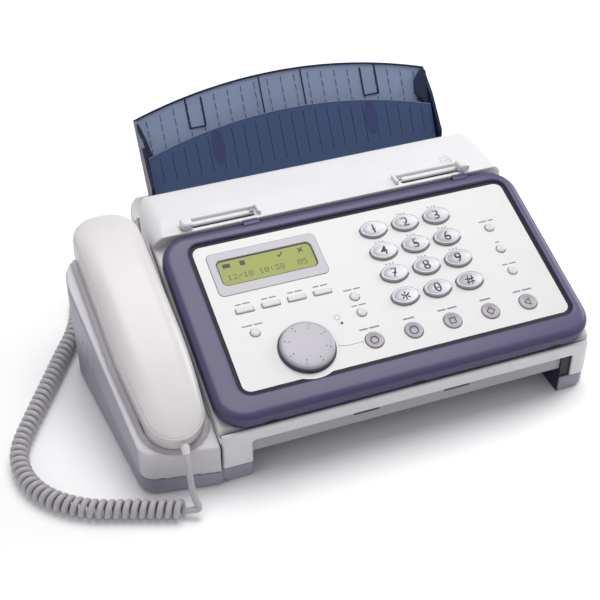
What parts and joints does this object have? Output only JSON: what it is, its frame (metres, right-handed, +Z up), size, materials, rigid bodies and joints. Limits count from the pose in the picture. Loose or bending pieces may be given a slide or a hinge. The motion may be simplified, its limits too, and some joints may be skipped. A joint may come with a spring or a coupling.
{
  "type": "fax machine",
  "caption": "Compact desktop fax machine with a corded handset in a side cradle, a sloping control panel with jog dial, keys and display, and a blue paper support.",
  "frame": {"origin": "on the table, in the middle of the footprint of the machine without its handset cord", "axes": "+X to the right, +Y to the rear, +Z up"},
  "size_m": [0.3925, 0.2769, 0.1458],
  "materials": {
    "grey_case_plastic": "fine-textured moulded ABS",
    "foot_rubber": "matte rubber",
    "white_case_plastic": "fine-textured moulded ABS",
    "pale_grey_plastic": "fine-textured moulded ABS",
    "grey_trim_plastic": "satin moulded ABS",
    "smoked_blue_plastic": "polished, slightly translucent",
    "circuit_board": "solder mask",
    "black_plastic": "moulded",
    "print_head_metal": "extruded and brushed",
    "motor_steel": "zinc plated",
    "screw_steel": "zinc plated",
    "roller_rubber": "ground rubber",
    "handset_plastic": "satin moulded ABS",
    "cord_plastic": "soft satin PVC",
    "clear_plastic": "clear moulded",
    "violet_plastic": "polished moulded",
    "white_panel_plastic": "satin moulded",
    "lcd_glass": "yellow-green reflective display in a pale surround",
    "silver_dial_paint": "silver paint on a moulded dial",
    "silver_key_paint": "silver paint on moulded keys",
    "cream_key_plastic": "satin moulded",
    "lilac_key_plastic": "satin moulded"
  },
  "bodies": {
    "base": {"lower_case": "grey_case_plastic", "rubber_feet": "foot_rubber", "main_case": "white_case_plastic", "cradle_housing": "pale_grey_plastic", "front_frame": "grey_trim_plastic", "paper_support": "smoked_blue_plastic", "main_board": "circuit_board", "rear_sockets": "black_plastic", "loudspeaker": "black_plastic", "print_head": "print_head_metal", "drive_motor": "motor_steel", "case_screws": "screw_steel", "cover_hinge_pins": "screw_steel", "handset_plug": "clear_plastic", "handset_cord_coil": "cord_plastic", "handset_cord_lead": "cord_plastic"},
    "top_cover": {"top_cover": "white_case_plastic"},
    "control_panel": {"panel_bezel": "violet_plastic", "panel_plate": "white_panel_plastic", "lcd_module": "lcd_glass", "panel_board": "circuit_board"},
    "jog_dial": {"jog_dial": "silver_dial_paint"},
    "document_roller": {"document_roller": "roller_rubber"},
    "platen_roller": {"platen_roller": "roller_rubber"},
    "ribbon_supply_spool": {"ribbon_supply_spool": "black_plastic"},
    "ribbon_takeup_spool": {"ribbon_takeup_spool": "black_plastic"},
    "guide_left": {"guide_left": "white_case_plastic"},
    "guide_right": {"guide_right": "white_case_plastic"},
    "paper_cover": {"paper_cover": "smoked_blue_plastic"},
    "handset": {"handset_upper_shell": "handset_plastic", "handset_lower_shell": "handset_plastic", "handset_capsules": "black_plastic"},
    "hook_switch": {"hook_switch": "black_plastic"},
    "key_1": {"key_1": "silver_key_paint"},
    "key_2": {"key_2": "silver_key_paint"},
    "key_3": {"key_3": "silver_key_paint"},
    "key_4": {"key_4": "silver_key_paint"},
    "key_5": {"key_5": "silver_key_paint"},
    "key_6": {"key_6": "silver_key_paint"},
    "key_7": {"key_7": "silver_key_paint"},
    "key_8": {"key_8": "silver_key_paint"},
    "key_9": {"key_9": "silver_key_paint"},
    "key_star": {"key_star": "silver_key_paint"},
    "key_0": {"key_0": "silver_key_paint"},
    "key_hash": {"key_hash": "silver_key_paint"},
    "bar_key_1": {"bar_key_1": "cream_key_plastic"},
    "bar_key_2": {"bar_key_2": "cream_key_plastic"},
    "bar_key_3": {"bar_key_3": "cream_key_plastic"},
    "bar_key_4": {"bar_key_4": "cream_key_plastic"},
    "function_key": {"function_key": "cream_key_plastic"},
    "recorder_key_1": {"recorder_key_1": "cream_key_plastic"},
    "recorder_key_2": {"recorder_key_2": "cream_key_plastic"},
    "side_key_1": {"side_key_1": "cream_key_plastic"},
    "side_key_2": {"side_key_2": "cream_key_plastic"},
    "side_key_3": {"side_key_3": "cream_key_plastic"},
    "round_key_1": {"round_key_1": "lilac_key_plastic"},
    "round_key_2": {"round_key_2": "lilac_key_plastic"},
    "round_key_3": {"round_key_3": "lilac_key_plastic"},
    "round_key_4": {"round_key_4": "lilac_key_plastic"},
    "round_key_5": {"round_key_5": "lilac_key_plastic"}
  },
  "joints": [
    {"name": "top_cover_hinge", "type": "hinge", "parent": "base", "child": "top_cover", "pos_m": [0, 0.066, 0.088], "axis": [-1, 0, 0], "range_deg": [0, 45]},
    {"name": "control_panel_hinge", "type": "hinge", "parent": "top_cover", "child": "control_panel", "pos_m": [0, 0.01449, 0.0933], "axis": [-1, 0, 0], "range_deg": [0, 30]},
    {"name": "jog_dial_turn", "type": "hinge", "parent": "control_panel", "child": "jog_dial", "pos_m": [-0.0304, -0.08775, 0.0631], "axis": [0, -0.294, 0.9558], "continuous": true},
    {"name": "document_roller_spin", "type": "hinge", "parent": "top_cover", "child": "document_roller", "pos_m": [0.037, -0.01421, 0.06689], "axis": [1, 0, 0], "continuous": true},
    {"name": "platen_spin", "type": "hinge", "parent": "base", "child": "platen_roller", "pos_m": [0.03, 0.012, 0.048], "axis": [1, 0, 0], "continuous": true},
    {"name": "supply_spool_spin", "type": "hinge", "parent": "base", "child": "ribbon_supply_spool", "pos_m": [0.03, -0.034, 0.038], "axis": [1, 0, 0], "continuous": true},
    {"name": "takeup_spool_spin", "type": "hinge", "parent": "base", "child": "ribbon_takeup_spool", "pos_m": [0.03, 0.05, 0.03], "axis": [1, 0, 0], "continuous": true},
    {"name": "guide_left_slide", "type": "slide", "parent": "top_cover", "child": "guide_left", "axis": [1, 0, 0], "range_m": [0, 0.045]},
    {"name": "guide_right_slide", "type": "slide", "parent": "top_cover", "child": "guide_right", "axis": [1, 0, 0], "range_m": [-0.045, 0]},
    {"name": "paper_cover_hinge", "type": "hinge", "parent": "base", "child": "paper_cover", "pos_m": [0.028, 0.07979, 0.08602], "axis": [1, 0, 0], "range_deg": [0, 55]},
    {"name": "handset_lift", "type": "slide", "parent": "base", "child": "handset", "axis": [0.0129, -0.3087, 0.9511], "range_m": [0, 0.06]},
    {"name": "hook_switch_travel", "type": "slide", "parent": "base", "child": "hook_switch", "axis": [0.0129, -0.3087, 0.9511], "range_m": [0, 0.003]},
    {"name": "key_1_press", "type": "slide", "parent": "control_panel", "child": "key_1", "axis": [0, 0.294, -0.9558], "range_m": [0, 0.0012], "stiffness_N_per_m": 180, "springref_m": -0.002},
    {"name": "key_2_press", "type": "slide", "parent": "control_panel", "child": "key_2", "axis": [0, 0.294, -0.9558], "range_m": [0, 0.0012], "stiffness_N_per_m": 180, "springref_m": -0.002},
    {"name": "key_3_press", "type": "slide", "parent": "control_panel", "child": "key_3", "axis": [0, 0.294, -0.9558], "range_m": [0, 0.0012], "stiffness_N_per_m": 180, "springref_m": -0.002},
    {"name": "key_4_press", "type": "slide", "parent": "control_panel", "child": "key_4", "axis": [0, 0.294, -0.9558], "range_m": [0, 0.0012], "stiffness_N_per_m": 180, "springref_m": -0.002},
    {"name": "key_5_press", "type": "slide", "parent": "control_panel", "child": "key_5", "axis": [0, 0.294, -0.9558], "range_m": [0, 0.0012], "stiffness_N_per_m": 180, "springref_m": -0.002},
    {"name": "key_6_press", "type": "slide", "parent": "control_panel", "child": "key_6", "axis": [0, 0.294, -0.9558], "range_m": [0, 0.0012], "stiffness_N_per_m": 180, "springref_m": -0.002},
    {"name": "key_7_press", "type": "slide", "parent": "control_panel", "child": "key_7", "axis": [0, 0.294, -0.9558], "range_m": [0, 0.0012], "stiffness_N_per_m": 180, "springref_m": -0.002},
    {"name": "key_8_press", "type": "slide", "parent": "control_panel", "child": "key_8", "axis": [0, 0.294, -0.9558], "range_m": [0, 0.0012], "stiffness_N_per_m": 180, "springref_m": -0.002},
    {"name": "key_9_press", "type": "slide", "parent": "control_panel", "child": "key_9", "axis": [0, 0.294, -0.9558], "range_m": [0, 0.0012], "stiffness_N_per_m": 180, "springref_m": -0.002},
    {"name": "key_star_press", "type": "slide", "parent": "control_panel", "child": "key_star", "axis": [0, 0.294, -0.9558], "range_m": [0, 0.0012], "stiffness_N_per_m": 180, "springref_m": -0.002},
    {"name": "key_0_press", "type": "slide", "parent": "control_panel", "child": "key_0", "axis": [0, 0.294, -0.9558], "range_m": [0, 0.0012], "stiffness_N_per_m": 180, "springref_m": -0.002},
    {"name": "key_hash_press", "type": "slide", "parent": "control_panel", "child": "key_hash", "axis": [0, 0.294, -0.9558], "range_m": [0, 0.0012], "stiffness_N_per_m": 180, "springref_m": -0.002},
    {"name": "bar_key_1_press", "type": "slide", "parent": "control_panel", "child": "bar_key_1", "axis": [0, 0.294, -0.9558], "range_m": [0, 0.0012], "stiffness_N_per_m": 180, "springref_m": -0.002},
    {"name": "bar_key_2_press", "type": "slide", "parent": "control_panel", "child": "bar_key_2", "axis": [0, 0.294, -0.9558], "range_m": [0, 0.0012], "stiffness_N_per_m": 180, "springref_m": -0.002},
    {"name": "bar_key_3_press", "type": "slide", "parent": "control_panel", "child": "bar_key_3", "axis": [0, 0.294, -0.9558], "range_m": [0, 0.0012], "stiffness_N_per_m": 180, "springref_m": -0.002},
    {"name": "bar_key_4_press", "type": "slide", "parent": "control_panel", "child": "bar_key_4", "axis": [0, 0.294, -0.9558], "range_m": [0, 0.0012], "stiffness_N_per_m": 180, "springref_m": -0.002},
    {"name": "function_key_press", "type": "slide", "parent": "control_panel", "child": "function_key", "axis": [0, 0.294, -0.9558], "range_m": [0, 0.0012], "stiffness_N_per_m": 180, "springref_m": -0.002},
    {"name": "recorder_key_1_press", "type": "slide", "parent": "control_panel", "child": "recorder_key_1", "axis": [0, 0.294, -0.9558], "range_m": [0, 0.0012], "stiffness_N_per_m": 180, "springref_m": -0.002},
    {"name": "recorder_key_2_press", "type": "slide", "parent": "control_panel", "child": "recorder_key_2", "axis": [0, 0.294, -0.9558], "range_m": [0, 0.0012], "stiffness_N_per_m": 180, "springref_m": -0.002},
    {"name": "side_key_1_press", "type": "slide", "parent": "control_panel", "child": "side_key_1", "axis": [0, 0.294, -0.9558], "range_m": [0, 0.0012], "stiffness_N_per_m": 180, "springref_m": -0.002},
    {"name": "side_key_2_press", "type": "slide", "parent": "control_panel", "child": "side_key_2", "axis": [0, 0.294, -0.9558], "range_m": [0, 0.0012], "stiffness_N_per_m": 180, "springref_m": -0.002},
    {"name": "side_key_3_press", "type": "slide", "parent": "control_panel", "child": "side_key_3", "axis": [0, 0.294, -0.9558], "range_m": [0, 0.0012], "stiffness_N_per_m": 180, "springref_m": -0.002},
    {"name": "round_key_1_press", "type": "slide", "parent": "control_panel", "child": "round_key_1", "axis": [0, 0.294, -0.9558], "range_m": [0, 0.0012], "stiffness_N_per_m": 180, "springref_m": -0.002},
    {"name": "round_key_2_press", "type": "slide", "parent": "control_panel", "child": "round_key_2", "axis": [0, 0.294, -0.9558], "range_m": [0, 0.0012], "stiffness_N_per_m": 180, "springref_m": -0.002},
    {"name": "round_key_3_press", "type": "slide", "parent": "control_panel", "child": "round_key_3", "axis": [0, 0.294, -0.9558], "range_m": [0, 0.0012], "stiffness_N_per_m": 180, "springref_m": -0.002},
    {"name": "round_key_4_press", "type": "slide", "parent": "control_panel", "child": "round_key_4", "axis": [0, 0.294, -0.9558], "range_m": [0, 0.0012], "stiffness_N_per_m": 180, "springref_m": -0.002},
    {"name": "round_key_5_press", "type": "slide", "parent": "control_panel", "child": "round_key_5", "axis": [0, 0.294, -0.9558], "range_m": [0, 0.0012], "stiffness_N_per_m": 180, "springref_m": -0.002}
  ],
  "couplings": [
    {"joint": "supply_spool_spin", "follows": "platen_spin", "ratio": -0.8},
    {"joint": "takeup_spool_spin", "follows": "platen_spin", "ratio": -1.2},
    {"joint": "guide_right_slide", "follows": "guide_left_slide", "ratio": -1},
    {"joint": "hook_switch_travel", "follows": "handset_lift", "ratio": 0.05}
  ]
}
